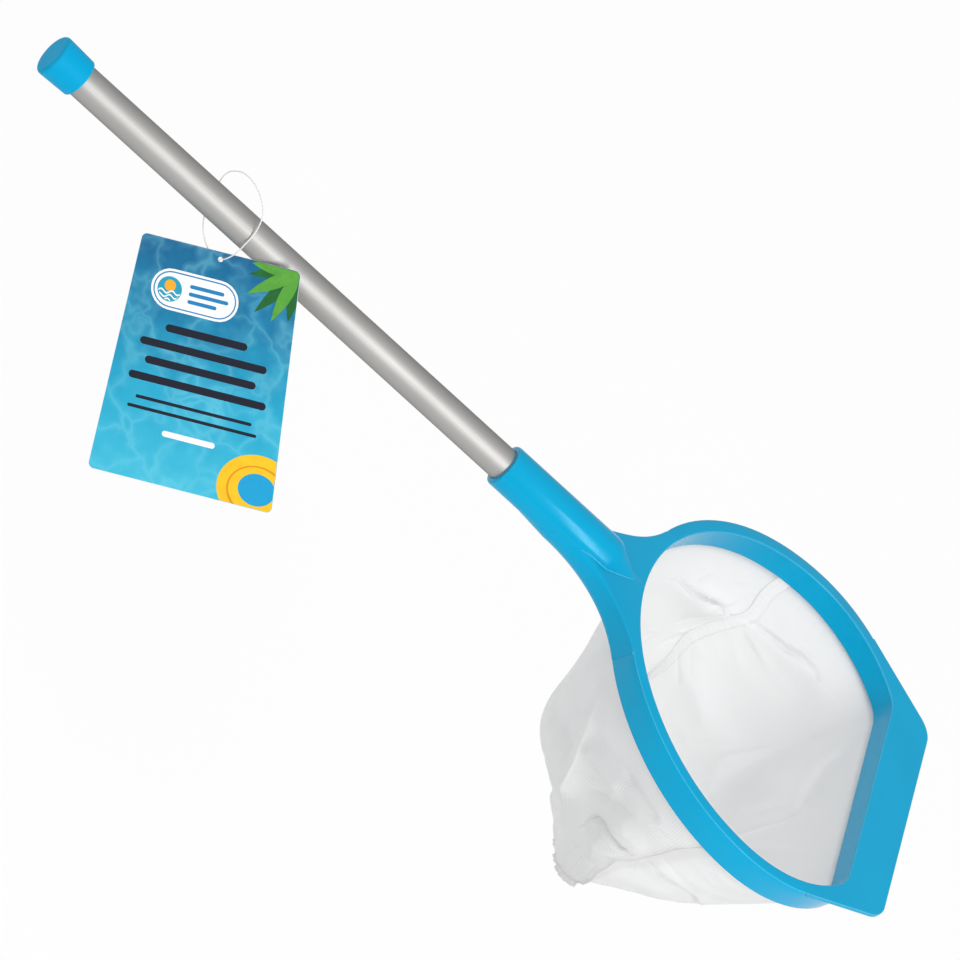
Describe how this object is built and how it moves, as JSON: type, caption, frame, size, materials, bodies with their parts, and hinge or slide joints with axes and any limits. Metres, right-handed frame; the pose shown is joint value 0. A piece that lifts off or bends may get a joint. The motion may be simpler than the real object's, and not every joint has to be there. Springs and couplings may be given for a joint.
{
  "type": "leaf skimmer net",
  "caption": "Hand leaf skimmer for pools: moulded rim with a flat front lip, deep fine-mesh bag, tube handle with end cap, and a hang tag on a thread loop.",
  "frame": {"origin": "on the handle tube's axis, half way along the bare tube between the end cap and the socket, where the hand holds it", "axes": "+X along the handle towards the flat lip, +Y to the left of the lip seen from the handle with the mouth up, +Z out of the net's mouth; the bag hangs towards -Z"},
  "size_m": [0.8717, 0.3246, 0.2258],
  "materials": {
    "blue_plastic": "glossy moulded blue polypropylene",
    "aluminium": "satin drawn tube",
    "steel": "zinc plated",
    "mesh_cloth": "fine white polyester mesh",
    "card": "printed glossy card",
    "thread": "white twisted thread"
  },
  "bodies": {
    "skimmer": {"net_frame": "blue_plastic", "net_retaining_ring": "blue_plastic", "net_mouth_hem": "mesh_cloth", "net_back_panel": "mesh_cloth", "net_front_panel": "mesh_cloth", "net_side_seams": "mesh_cloth", "net_bottom_gather": "mesh_cloth", "handle_tube": "aluminium", "handle_end_cap": "blue_plastic", "socket_screw": "steel"},
    "loop": {"tag_loop": "thread", "tag_loop_knot": "thread"},
    "tag": {"hang_tag": "card"}
  },
  "joints": [
    {"name": "loop_turn", "type": "hinge", "parent": "skimmer", "child": "loop", "pos_m": [0, 0, 0], "axis": [1, 0, 0], "continuous": true},
    {"name": "tag_pivot", "type": "hinge", "parent": "loop", "child": "tag", "pos_m": [-0.0439, -0.0103, -0.0263], "axis": [-0.4205, -0.8873, 0.1893], "range_deg": [-40, 2]}
  ]
}
